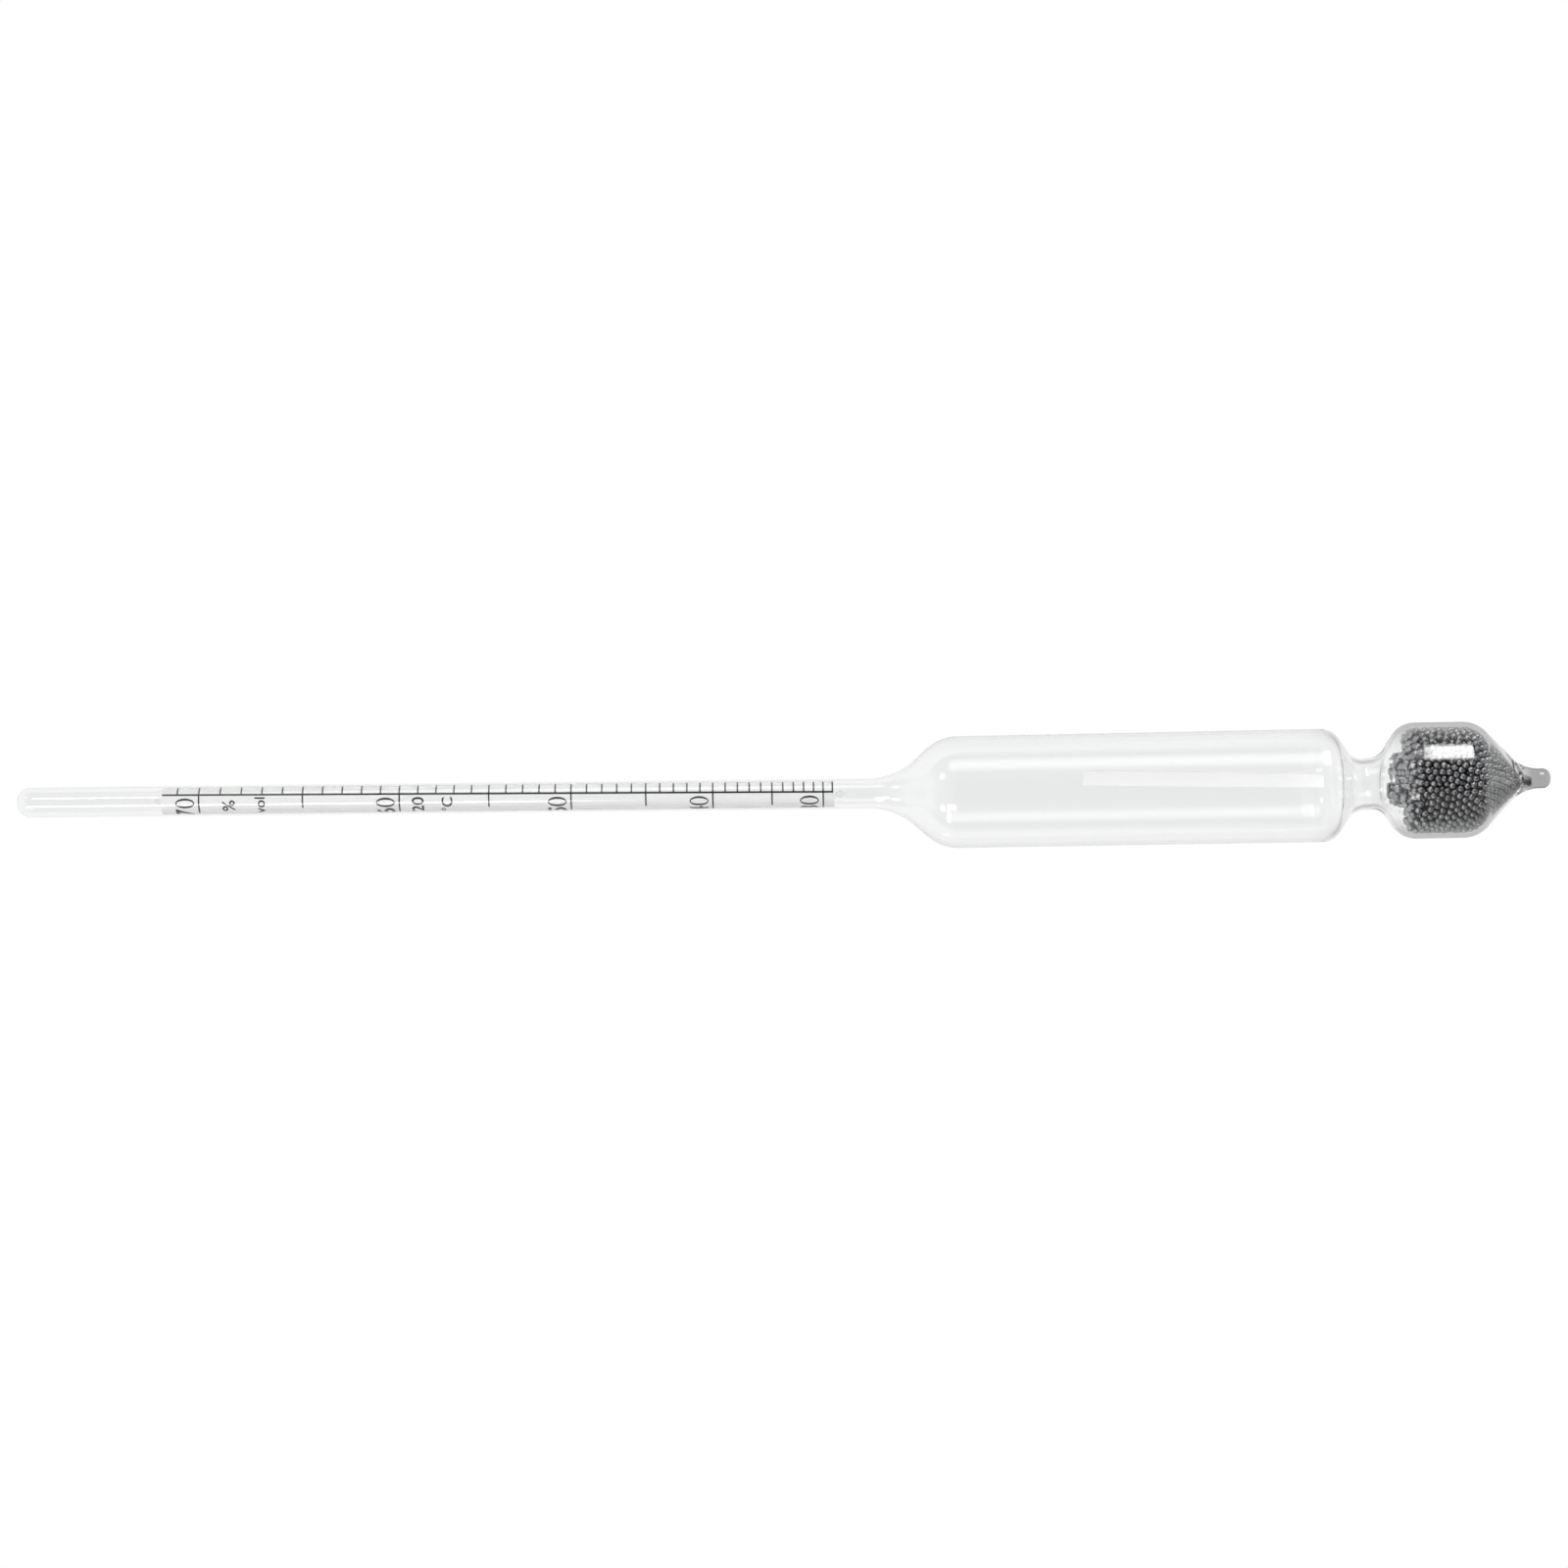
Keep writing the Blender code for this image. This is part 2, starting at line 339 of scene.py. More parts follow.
def glass_tone_with_tip_shade(nodes, links, along_x):
    """Clear glass down to the bulb's end, then greyer towards the cavity's end, as painted shade."""
    along = nodes.new("ShaderNodeMapRange")
    set_inputs(along, From_Min=TOP_X + BULB_BOTTOM, From_Max=TOP_X + CAVITY_BOTTOM)
    links.new(along_x, along.inputs["Value"])
    return tone_ramp(nodes, links, along.outputs["Result"], (PAINTED_TIP_SHADE_START, GLASS_TONE), (1, PAINTED_TIP_SHADE))


def clear_glass():
    """Drawn glass: faint lengthwise streaks, shadow rays pass so lamps light what is inside, painted shade
    at the tip and a painted glow.
    """
    made, nodes, links, shader = new_material("drawn_glass")
    set_inputs(shader, Roughness=0.0, IOR=GLASS_IOR, Transmission_Weight=1.0)
    place = nodes.new("ShaderNodeTexCoord")
    split = nodes.new("ShaderNodeSeparateXYZ")
    links.new(place.outputs["Object"], split.inputs["Vector"])
    # The base colour carries painted shade that greys the drawn tip
    links.new(glass_tone_with_tip_shade(nodes, links, split.outputs["X"]), shader.inputs["Base Color"])
    streaks = mapped_noise(nodes, links, 900, (0.02, 1, 1), detail=3)
    add_bump(nodes, links, shader, streaks.outputs["Fac"], 0.03, FINE_RELIEF)
    clear = nodes.new("ShaderNodeBsdfTransparent")
    set_inputs(clear, Color=(GLASS_SHADE, GLASS_SHADE, GLASS_SHADE, 1))
    path = nodes.new("ShaderNodeLightPath")
    shadow = path.outputs["Is Shadow Ray"]
    glass = shader_mix(nodes, links, shadow, shader.outputs["BSDF"], clear.outputs["BSDF"])
    weld = math_node(nodes, links, "COMPARE", split.outputs["X"], TOP_X + WELD_MIDDLE, WELD_REACH)
    limit = math_node(nodes, links, "MULTIPLY_ADD", weld, WELD_DEPTH - GUIDED_DEPTH, GUIDED_DEPTH)
    deep = math_node(nodes, links, "GREATER_THAN", path.outputs["Ray Depth"], limit)
    # Painted glow: past the limit the glass gives off an even pale tone instead of passing light on
    painted_glow = white_glow(nodes, PAINTED_WALL_GLOW)
    whole = shader_mix(nodes, links, deep, glass, painted_glow.outputs["Emission"])
    links.new(whole, nodes["Material Output"].inputs["Surface"])
    return made


# The papers' tones: the scale is a little greyer than the strip
SCALE_LIGHT = (0.89, 0.89, 0.885)
SCALE_DARK = (0.86, 0.86, 0.855)
SLIP_LIGHT = (0.96, 0.96, 0.955)
SLIP_DARK = (0.93, 0.93, 0.925)


def paper_finish(name, light, dark):
    """Matt paper with fibres that run along the object, between two tones."""
    made, nodes, links, shader = new_material(name)
    set_inputs(shader, Roughness=0.85)
    fibres = mapped_noise(nodes, links, 2600, (0.35, 1, 1), detail=6, roughness=0.65).outputs["Fac"]
    tone = tone_ramp(nodes, links, fibres, (0.3, dark), (0.6, light))
    links.new(tone, shader.inputs["Base Color"])
    add_bump(nodes, links, shader, fibres, 0.2, FINE_RELIEF)
    return made


def print_ink():
    """Black printing ink, a little mottled."""
    made, nodes, links, shader = new_material("print_ink")
    set_inputs(shader, Roughness=0.55)
    mottle = mapped_noise(nodes, links, 3500, detail=5).outputs["Fac"]
    tone = tone_ramp(nodes, links, mottle, (0.35, (0.012, 0.012, 0.013)), (0.75, (0.04, 0.04, 0.042)))
    links.new(tone, shader.inputs["Base Color"])
    return made


def dried_glue():
    """Clear dried glue, a little cloudy, which hardly bends the light."""
    made, nodes, links, shader = new_material("dried_glue")
    set_inputs(shader, IOR=1.10, Transmission_Weight=1.0)
    cloud = mapped_noise(nodes, links, 1500, detail=4).outputs["Fac"]
    tone = tone_ramp(nodes, links, cloud, (0, (0.93, 0.92, 0.88)), (1, (0.98, 0.98, 0.96)))
    links.new(tone, shader.inputs["Base Color"])
    haze = nodes.new("ShaderNodeMapRange")
    set_inputs(haze, To_Min=0.1, To_Max=0.3)
    links.new(cloud, haze.inputs["Value"])
    links.new(haze.outputs["Result"], shader.inputs["Roughness"])
    add_bump(nodes, links, shader, cloud, 0.3, 0.05 * MM)
    return made


def shot_finish():
    """Burnished steel balls, a little different from each other in tone and with a fine polish grain."""
    made, nodes, links, shader = new_material("burnished_shot")
    set_inputs(shader, Metallic=1.0, Roughness=0.30)
    blend = mapped_noise(nodes, links, 700, detail=1).outputs["Fac"]
    tone = tone_ramp(nodes, links, blend, (0.35, (0.27, 0.27, 0.28)), (0.65, (0.41, 0.41, 0.42)))
    links.new(tone, shader.inputs["Base Color"])
    polish = mapped_noise(nodes, links, 6000, detail=3).outputs["Fac"]
    add_bump(nodes, links, shader, polish, 0.08, 0.01 * MM)
    return made


# ---------------------------------------------------------------------------------------------------
# Glass envelope
# ---------------------------------------------------------------------------------------------------

# Station, radius and fillet of each corner of the outline, from the stem's top to the tip
OUTER_CORNERS = [
    (0.0, 0.0, 0.0),
    (0.0, STEM_RADIUS, 2.3 * MM),
    (SHOULDER_TOP, STEM_RADIUS, 12.5 * MM),
    (SHOULDER_BOTTOM, FLOAT_RADIUS, 8.7 * MM),
    (FLOAT_BOTTOM, FLOAT_BOTTOM_RADIUS, 3.7 * MM),
    (NECK_TOP, NECK_RADIUS, 4.0 * MM),
    (NECK_BOTTOM, NECK_RADIUS, 3.3 * MM),
    (BULB_TOP, BULB_RADIUS, 4.9 * MM),
    (BULB_BOTTOM, BULB_RADIUS, 5.7 * MM),
    (TIP_TOP, TIP_RADIUS, 7.1 * MM),
    (LENGTH, TIP_RADIUS, 1.4 * MM),
    (LENGTH, 0.0, 0.0),
]

# The wall at each corner from the stem's round top to the top of the drawn tip
WALLS = [STEM_WALL] * 2 + [FLOAT_WALL] * 2 + [NECK_WALL] * 2 + [BULB_WALL] * 2 + [FUNNEL_WALL]


def cavity_corners(extra=0.0):
    """The inside of the glass, or a surface this much further in. It ends in a small round at the tip."""
    walls = [wall + extra for wall in WALLS]
    top = (STEM_WALL + extra, 0.0, 0.0)
    inner = inset(OUTER_CORNERS[:-1], walls)
    funnel_station, funnel_radius, _ = inner.pop()
    end = CAVITY_BOTTOM - extra
    blunt = max(CAVITY_END_RADIUS - extra, CAVITY_END_LEAST)
    funnel = (funnel_station, funnel_radius, FUNNEL_FILLET + extra)
    return [top, *inner, funnel, (end, blunt, blunt * CAVITY_END_ROUND), (end, 0.0, 0.0)]


def glass_envelope(finish):
    """The whole sealed glass, with its outer and its inner surface."""
    outer = finely(filleted(OUTER_CORNERS), LONGEST_RING_GAP)
    inner = finely(filleted(cavity_corners()), LONGEST_RING_GAP)
    verts, faces = lathe(outer, GLASS_SIDES)
    hollow, hollow_faces = lathe(inner, GLASS_SIDES, inward=True)
    shift = len(verts)
    faces += [[corner + shift for corner in face] for face in hollow_faces]
    nodes = ("stem_tube", "float_body", "ballast_bulb")
    add_piece("glass_envelope", verts + hollow, faces, finish, "clear_glass", *nodes)


# ---------------------------------------------------------------------------------------------------
# Printed scale
# ---------------------------------------------------------------------------------------------------

# The rolled paper, 0.04 mm inside the glass, with its seam opposite the spine line. The spine line turns
# round it a little from one end to the other.
SCALE_TOP = scale_low.x - TOP_X
SCALE_BOTTOM = scale_high.x - TOP_X
SCALE_RADIUS = STEM_RADIUS - STEM_WALL - 0.04 * MM
PAPER = 0.10 * MM
SEAM = math.radians(16)
SPINE_TURN_TOP = math.radians(26.2)
SPINE_TURN_BOTTOM = math.radians(9.5)
PAPER_ROWS = 64
PAPER_COLUMNS = 72

# The marks run from 29 to 71 % by volume. The middle ones sit up to PRINT_STRETCH nearer to the stem's top
# than the density rule alone puts them.
FIRST_MARK = 29
LAST_MARK = 71
MARK_70 = 33.4 * MM
MARK_30 = 147.1 * MM
PRINT_STRETCH = 0.6 * MM

# The printed shapes, which stand about 0.01 mm over the paper and follow it in short steps
INK_LIFT = 0.012 * MM
INK_DEEP = 0.010 * MM
STEP_AROUND = 0.15 * MM
STEP_ALONG = 2 * MM
LETTER_STEP = 0.18 * MM
SPINE_START = 0.15 * MM
SPINE_WIDTH = 0.34 * MM
MARK_WIDTH = 0.27 * MM
MARK_UP = 2.2 * MM
FIVE_DOWN = 2.45 * MM
TEN_DOWN = 3.6 * MM
FIGURE_GAP = 0.80 * MM
FIGURE_HEIGHT = 3.45 * MM
FIGURE_WIDTH = 1.77 * MM
FIGURE_PITCH = 1.95 * MM
FIGURE_WEIGHT = 0.02
ZERO_MIDDLE = -1.53 * MM
ZERO_SIDE = 0.36 * MM
ZERO_END = 0.2 * MM
LETTERING_MIDDLE = ZERO_MIDDLE - 0.5 * MM
LETTERING_WEIGHT = 0.01

# Each short text, the strength that it stands at and its height
LETTERING = [
    ("%", 68.6, 2.3 * MM),
    ("vol", 67.1, 1.9 * MM),
    ("20", 59.0, 2.2 * MM),
    ("°C", 57.4, 2.1 * MM),
]


def spirit_density(strength):
    """Density of spirit at 20 degrees, kg per cubic metre, from 29 to 71 % by volume."""
    t = (strength - 50) / 10
    return 930.14 - 19.57 * t - 1.56 * t**2 + 0.10 * t**3


def mark_station(strength):
    """Where a strength's mark is: the depth to which the hydrometer sinks follows the specific volume."""
    volumes = [1 / spirit_density(s) for s in (30, 70, strength)]
    share = (volumes[2] - volumes[0]) / (volumes[1] - volumes[0])
    along = (strength - 30) / 40
    return MARK_30 + (MARK_70 - MARK_30) * share - PRINT_STRETCH * 4 * along * (1 - along)


def on_scale(around, station, lift=0.0):
    """A point of the rolled paper: around is the distance from the spine line, positive towards +Y."""
    share = (station - SCALE_TOP) / (SCALE_BOTTOM - SCALE_TOP)
    turn = SPINE_TURN_TOP + (SPINE_TURN_BOTTOM - SPINE_TURN_TOP) * share + around / SCALE_RADIUS
    radius = SCALE_RADIUS + lift
    y = centre_y(station) + radius * math.sin(turn)
    return (TOP_X + station, y, AXIS_Z + radius * math.cos(turn))


def rolled_paper(finish):
    """The paper scale, rolled nearly to a closed tube."""
    half = (math.pi - SEAM / 2) * SCALE_RADIUS

    def point(along, across, lift):
        station = SCALE_TOP + (SCALE_BOTTOM - SCALE_TOP) * along
        return on_scale(-half + 2 * half * across, station, lift)

    verts, faces = thin_sheet(PAPER_ROWS, PAPER_COLUMNS, (0.0, -PAPER), point)
    add_piece("scale_sheet", verts, faces, finish, "scale_paper", "scale_paper")


def flat_lettering(words, height, width, heavier):
    """Lettering in Blender's own font, flat, centred and cut in narrow strips so that it can bend."""
    curve = bpy.data.curves.new("lettering", "FONT")
    curve.body = words
    curve.offset = heavier
    curve.resolution_u = 5
    holder = bpy.data.objects.new("lettering", curve)
    bpy.context.scene.collection.objects.link(holder)
    bpy.context.view_layer.update()
    graph = bpy.context.evaluated_depsgraph_get()
    mesh = bpy.data.meshes.new_from_object(holder.evaluated_get(graph))
    bpy.data.objects.remove(holder, do_unlink=True)
    bm = bmesh.new()
    bm.from_mesh(mesh)
    bpy.data.meshes.remove(mesh)
    bmesh.ops.remove_doubles(bm, verts=bm.verts, dist=1e-5)
    xs = [v.co.x for v in bm.verts]
    ys = [v.co.y for v in bm.verts]
    left, right, low, high = min(xs), max(xs), min(ys), max(ys)
    size = height / (high - low)
    squeeze = (width or size * (right - left)) / (right - left)
    for v in bm.verts:
        v.co.x = (v.co.x - (right + left) / 2) * squeeze
        v.co.y = (v.co.y - (high + low) / 2) * size
        v.co.z = 0
    reach = squeeze * (right - left) / 2
    cuts = math.ceil(2 * reach / LETTER_STEP)
    for k in range(1, cuts):
        everything = bm.verts[:] + bm.edges[:] + bm.faces[:]
        place = (-reach + 2 * reach * k / cuts, 0, 0)
        bmesh.ops.bisect_plane(bm, geom=everything, plane_co=place, plane_no=(1, 0, 0), dist=1e-8)
    bmesh.ops.triangulate(bm, faces=bm.faces[:])
    bm.verts.index_update()
    return bm


class Ink:
    """Collects printed shapes as thin closed solids on the rolled paper."""

    def __init__(self):
        self.verts = []
        self.faces = []

    def strip(self, edges):
        """A stroke between two edges: a list of ((around, station), (around, station)) pairs along it."""
        first = len(self.verts)
        for left, right in edges:
            for lift in (INK_LIFT, INK_LIFT - INK_DEEP):
                self.verts.append(on_scale(*left, lift))
                self.verts.append(on_scale(*right, lift))
        for k in range(len(edges) - 1):
            a, b = first + 4 * k, first + 4 * k + 4
            self.faces += [[a, a + 1, b + 1, b], [a + 2, b + 2, b + 3, a + 3]]
            self.faces += [[a, b, b + 2, a + 2], [a + 1, a + 3, b + 3, b + 1]]
        if edges[0] != edges[-1]:
            last = first + 4 * (len(edges) - 1)
            self.faces.append([first, first + 2, first + 3, first + 1])
            self.faces.append([last, last + 1, last + 3, last + 2])

    def line_around(self, station, low, high, width):
        """A line round the paper at one station."""
        steps = max(2, math.ceil((high - low) / STEP_AROUND))
        rows = [low + (high - low) * k / steps for k in range(steps + 1)]
        self.strip([((a, station - width / 2), (a, station + width / 2)) for a in rows])

    def line_along(self, around, top, bottom, width):
        """A line along the stem, from one station to another."""
        steps = math.ceil((bottom - top) / STEP_ALONG)
        rows = [top + (bottom - top) * k / steps for k in range(steps + 1)]
        self.strip([((around + width / 2, s), (around - width / 2, s)) for s in rows])

    def zero(self, middle, station, width, height, thick, thin):
        """A figure 0 with heavy sides and light ends, standing with its head towards the stem's top."""
        steps = 40
        edges = []
        for k in range(steps + 1):
            a = 2 * math.pi * (k % steps) / steps
            sides, ends = math.cos(a), math.sin(a)
            outer = (middle + sides * width / 2, station + ends * height / 2)
            inner = (middle + sides * (width / 2 - thick), station + ends * (height / 2 - thin))
            edges.append((inner, outer))
        self.strip(edges)

    def text(self, words, middle, station, height, width=None, heavier=0.0):
        """Lettering wrapped round the paper, with its head towards the stem's top."""
        bm = flat_lettering(words, height, width, heavier)
        first = len(self.verts)
        count = len(bm.verts)
        for lift in (INK_LIFT, INK_LIFT - INK_DEEP):
            self.verts += [on_scale(middle + v.co.x, station - v.co.y, lift) for v in bm.verts]
        for face in bm.faces:
            loop = [first + v.index for v in face.verts]
            if face.normal.z < 0:
                loop = loop[::-1]
            self.faces.append(loop)
            self.faces.append([corner + count for corner in loop[::-1]])
        for edge in bm.edges:
            if len(edge.link_faces) == 1:
                face = edge.link_faces[0]
                a, b = [first + v.index for v in edge.verts]
                order = [first + v.index for v in face.verts]
                if face.normal.z < 0:
                    order = order[::-1]
                if order[(order.index(a) + 1) % len(order)] != b:
                    a, b = b, a
                self.faces.append([b, a, a + count, b + count])
        bm.free()


def printed_scale(finish):
    """The spine line, a mark for each percent, the figures at each ten and the short texts between them."""
    ink = Ink()
    spine_bottom = mark_station(FIRST_MARK) + MARK_WIDTH / 2
    ink.line_along(0.0, SCALE_TOP + SPINE_START, spine_bottom, SPINE_WIDTH)
    for strength in range(FIRST_MARK, LAST_MARK + 1):
        down = -SPINE_WIDTH / 2
        if strength % 10 == 0:
            down = -TEN_DOWN
        elif strength % 5 == 0:
            down = -FIVE_DOWN
        ink.line_around(mark_station(strength), down, MARK_UP, MARK_WIDTH)
        if strength % 10 == 0:
            middle = mark_station(strength) - FIGURE_GAP - FIGURE_HEIGHT / 2
            ink.zero(ZERO_MIDDLE, middle, FIGURE_WIDTH, FIGURE_HEIGHT, ZERO_SIDE, ZERO_END)
            tens = str(strength // 10)
            ink.text(tens, ZERO_MIDDLE - FIGURE_PITCH, middle, FIGURE_HEIGHT, FIGURE_WIDTH, FIGURE_WEIGHT)
    for words, strength, height in LETTERING:
        ink.text(words, LETTERING_MIDDLE, mark_station(strength), height, None, LETTERING_WEIGHT)
    add_piece("scale_print", ink.verts, ink.faces, finish, "scale_paper")


# ---------------------------------------------------------------------------------------------------
# Paper strip in the float
# ---------------------------------------------------------------------------------------------------

SLIP_THICK = 0.12 * MM
SLIP_LIE = 0.12 * MM
SLIP_WIDTH = 2.8 * MM
SLIP_SLANT = math.radians(1.8)
SLIP_ALONG = 0.95 * MM
SLIP_ROWS = 60
SLIP_COLUMNS = 10

# The strip's end nearest the bulb lifts in a curl, and the strip waves a little in height and in width
CURL_HEIGHT = 1.1 * MM
CURL_POWER = 14
WAVE_HEIGHT = 0.04 * MM
WAVE_TURN = 5.2
WAVER_SHARE = 0.05
WAVER_TURN = 3
WAVER_START = 1


def paper_strip(finish):
    """A cut strip lying along the float's inside wall, a little askew, with one end lifting."""
    length = slip_high.x - slip_low.x
    middle = (slip_low.y + slip_high.y) / 2 - FLOAT_Y
    wall = (FLOAT_RADIUS + FLOAT_BOTTOM_RADIUS) / 2 - FLOAT_WALL - SLIP_LIE
    centre_x = (slip_low.x + slip_high.x) / 2 + SLIP_ALONG

    def point(along, across, lift):
        reach = (along - 0.5) * length
        rise = CURL_HEIGHT * along**CURL_POWER + WAVE_HEIGHT * math.sin(WAVE_TURN * along) ** 2
        width = SLIP_WIDTH * (1 + WAVER_SHARE * math.sin(WAVER_TURN * along + WAVER_START))
        offset = middle - reach * math.tan(SLIP_SLANT) + (across - 0.5) * width
        turn = offset / wall
        radius = wall - lift - rise
        return (centre_x + reach, FLOAT_Y + radius * math.sin(turn), AXIS_Z - radius * math.cos(turn))

    verts, faces = thin_sheet(SLIP_ROWS, SLIP_COLUMNS, (0.0, SLIP_THICK), point)
    add_piece("paper_strip", verts, faces, finish, "slip_paper", "paper_slip")


# ---------------------------------------------------------------------------------------------------
# Ballast balls
# ---------------------------------------------------------------------------------------------------

BALL_RADIUS = 0.61 * MM
BALL_COUNT = 3010
OUTER_DIVISIONS = 3
INNER_DIVISIONS = 2

# The room that each ball pushes for in the packing, its gap to the glass and the gap at the cavity's end
BALL_ROOM = 0.635 * MM
WALL_GAP = 0.03 * MM
END_GAP = 0.06 * MM
ROOM_STEP = 0.1 * MM
ROOM_STATIONS = 700

# The packing: seeds are drawn in lots, grow from a share of their size and are then left to calm down
PACKING_SEED = 7
SEEDS_DRAWN = 4000
FIRST_SIZE = 0.6
GROWTH = 0.4
GROWTH_ROUNDS = 260
CALM_ROUNDS = 160
PAIRS_EVERY = 8
PAIRS_REACH = 1.25
PUSH_SHARE = 0.5
PUSH_GAIN = 0.8
JITTER = 0.02 * MM
SETTLE = 0.004 * MM

# The balls' layer that shows, and the bed's face: a low heap on one side and a spill on the other
FRONT_DEPTH = 1.2 * MM
BED_FACE = 253.3 * MM
HEAP_REACH = 1.5 * MM
HEAP_WIDTH = 2.1 * MM
HEAP_Y = 3.1 * MM
SPILL_REACH = 3.3 * MM
SPILL_WIDTH = 1.6 * MM
SPILL_Y = -2.5 * MM

# The four quarters of that layer, split at the axis, and the balls inside it
BALL_PIECES = (
    "ballast_shot_upper_back",
    "ballast_shot_upper_front",
    "ballast_shot_lower_back",
    "ballast_shot_lower_front",
    "ballast_shot_inner",
)


def bed_face(offset):
    """The station where the bed starts, over the distance across."""
    heap = HEAP_REACH * np.exp(-(((offset - HEAP_Y) / HEAP_WIDTH) ** 4))
    spill = SPILL_REACH * np.exp(-(((offset - SPILL_Y) / SPILL_WIDTH) ** 4))
    return BED_FACE - heap - spill


def room_profile():
    """The furthest a ball's centre may be from the axis, over stations."""
    edge = finely(filleted(cavity_corners(BALL_RADIUS + WALL_GAP)), ROOM_STEP)
    stations = np.linspace(NECK_TOP, CAVITY_BOTTOM - BALL_RADIUS - END_GAP, ROOM_STATIONS)
    return stations, np.interp(stations, edge[:, 0], edge[:, 1])


def near_pairs(points, reach):
    """Index pairs of points closer than this, found in blocks along the axis."""
    order = np.argsort(points[:, 0])
    sorted_points = points[order]
    last = np.searchsorted(sorted_points[:, 0], sorted_points[:, 0] + reach, side="right")
    firsts, seconds = [], []
    for i in range(len(points)):
        block = sorted_points[i + 1:last[i]] - sorted_points[i]
        near = np.nonzero(np.einsum("ij,ij->i", block, block) < reach * reach)[0]
        firsts.append(np.full(len(near), i))
        seconds.append(near + i + 1)
    return order[np.concatenate(firsts)], order[np.concatenate(seconds)]


def keep_inside(points, stations, radii, slopes):
    """Moves centres back within the cavity and behind the bed's face."""
    points[:, 0] = np.maximum(points[:, 0], bed_face(points[:, 1]))
    points[:, 0] = np.minimum(points[:, 0], stations[-1])
    away = np.hypot(points[:, 1], points[:, 2])
    room = np.interp(points[:, 0], stations, radii)
    slope = np.interp(points[:, 0], stations, slopes)
    over = np.maximum(away - room, 0) / (1 + slope * slope)
    share = over / np.maximum(away, 1e-9)
    points[:, 0] += over * slope
    points[:, 1] -= points[:, 1] * share
    points[:, 2] -= points[:, 2] * share


def packed_balls():
    """Ball centres in a crowded random packing: small seeds grow to full size and push each other apart, and
    many neighbours still overlap at the end."""
    rng = np.random.default_rng(PACKING_SEED)
    stations, radii = room_profile()
    slopes = np.gradient(radii, stations)
    points = np.empty((0, 3))
    low = [stations[0], -BULB_RADIUS, -BULB_RADIUS]
    high = [stations[-1], BULB_RADIUS, BULB_RADIUS]
    while len(points) < BALL_COUNT:
        more = rng.uniform(low, high, (SEEDS_DRAWN, 3))
        room = np.interp(more[:, 0], stations, radii)
        inside = (np.hypot(more[:, 1], more[:, 2]) < room) & (more[:, 0] > bed_face(more[:, 1]))
        points = np.vstack([points, more[inside]])
    points = points[:BALL_COUNT]
    for step in range(GROWTH_ROUNDS + CALM_ROUNDS):
        grown = min(1.0, FIRST_SIZE + GROWTH * step / GROWTH_ROUNDS)
        size = 2 * BALL_ROOM * grown
        if step % PAIRS_EVERY == 0:
            first, second = near_pairs(points, 2 * BALL_ROOM * PAIRS_REACH)
        gap = points[first] - points[second]
        distance = np.sqrt(np.einsum("ij,ij->i", gap, gap)) + 1e-9
        push = np.maximum(size - distance, 0) * PUSH_SHARE
        close = push > 0
        shift = gap[close] * (push[close] / distance[close])[:, None]
        for axis in range(3):
            points[:, axis] += np.bincount(first[close], shift[:, axis], len(points)) * PUSH_GAIN
            points[:, axis] -= np.bincount(second[close], shift[:, axis], len(points)) * PUSH_GAIN
        if step < GROWTH_ROUNDS:
            points += rng.normal(0, JITTER * (1 - step / GROWTH_ROUNDS), points.shape)
        points[:, 0] += SETTLE
        keep_inside(points, stations, radii, slopes)
        points[0] = (stations[-1], 0, 0)
    room = np.interp(points[:, 0], stations, radii)
    slope = np.interp(points[:, 0], stations, slopes)
    depth = (room - np.hypot(points[:, 1], points[:, 2])) / np.sqrt(1 + slope * slope)
    depth = np.minimum(depth, points[:, 0] - bed_face(points[:, 1]))
    return points, depth


def ball_shape(divisions):
    """A ball's vertices and triangles about its own centre."""
    bm = bmesh.new()
    bmesh.ops.create_icosphere(bm, subdivisions=divisions, radius=BALL_RADIUS)
    bm.verts.index_update()
    verts = np.array([tuple(v.co) for v in bm.verts])
    faces = np.array([[v.index for v in face.verts] for face in bm.faces])
    bm.free()
    return verts, faces


def balls_piece(name, centres, divisions, finish, *nodes):
    """One piece with a ball at each centre, each turned its own way."""
    shape, shape_faces = ball_shape(divisions)
    rng = np.random.default_rng(len(centres))
    verts, faces = [], []
    for k, centre in enumerate(centres):
        spin = np.linalg.qr(rng.normal(size=(3, 3)))[0]
        spin *= np.sign(np.linalg.det(spin))
        verts.append(shape @ spin.T + centre)
        faces.append(shape_faces + k * len(shape))
    all_verts = np.vstack(verts)
    all_faces = np.vstack(faces)
    add_piece(name, all_verts.tolist(), all_faces.tolist(), finish, "polished_shot", *nodes)


def ballast(finish):
    """All the balls: the layer that shows in four pieces, and the rest inside it in a fifth."""
    points, depth = packed_balls()
    centres = points + [TOP_X, 0, AXIS_Z]
    centres[:, 1] += cavity_y(points[:, 0])
    outer = depth < FRONT_DEPTH
    above = points[:, 2] >= 0
    behind = points[:, 1] >= 0
    shot_nodes = sorted(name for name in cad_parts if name.startswith("shot_"))
    balls_piece(BALL_PIECES[0], centres[outer & above & behind], OUTER_DIVISIONS, finish, *shot_nodes)
    balls_piece(BALL_PIECES[1], centres[outer & above & ~behind], OUTER_DIVISIONS, finish)
    balls_piece(BALL_PIECES[2], centres[outer & ~above & behind], OUTER_DIVISIONS, finish)
    balls_piece(BALL_PIECES[3], centres[outer & ~above & ~behind], OUTER_DIVISIONS, finish)
    balls_piece(BALL_PIECES[4], centres[~outer], INNER_DIVISIONS, finish)


# ---------------------------------------------------------------------------------------------------
# Floor, light and camera
# ---------------------------------------------------------------------------------------------------

CAMERA_LENS = 75
SENSOR = 36
NEAR_CLIP = 0.01
FAR_CLIP = 50
VIEW_WIDTH = 286.6 * MM
VIEW_TURN = math.radians(-1.043)
VIEW_Y = 1.63 * MM
LIGHT_BOUNCES = 32
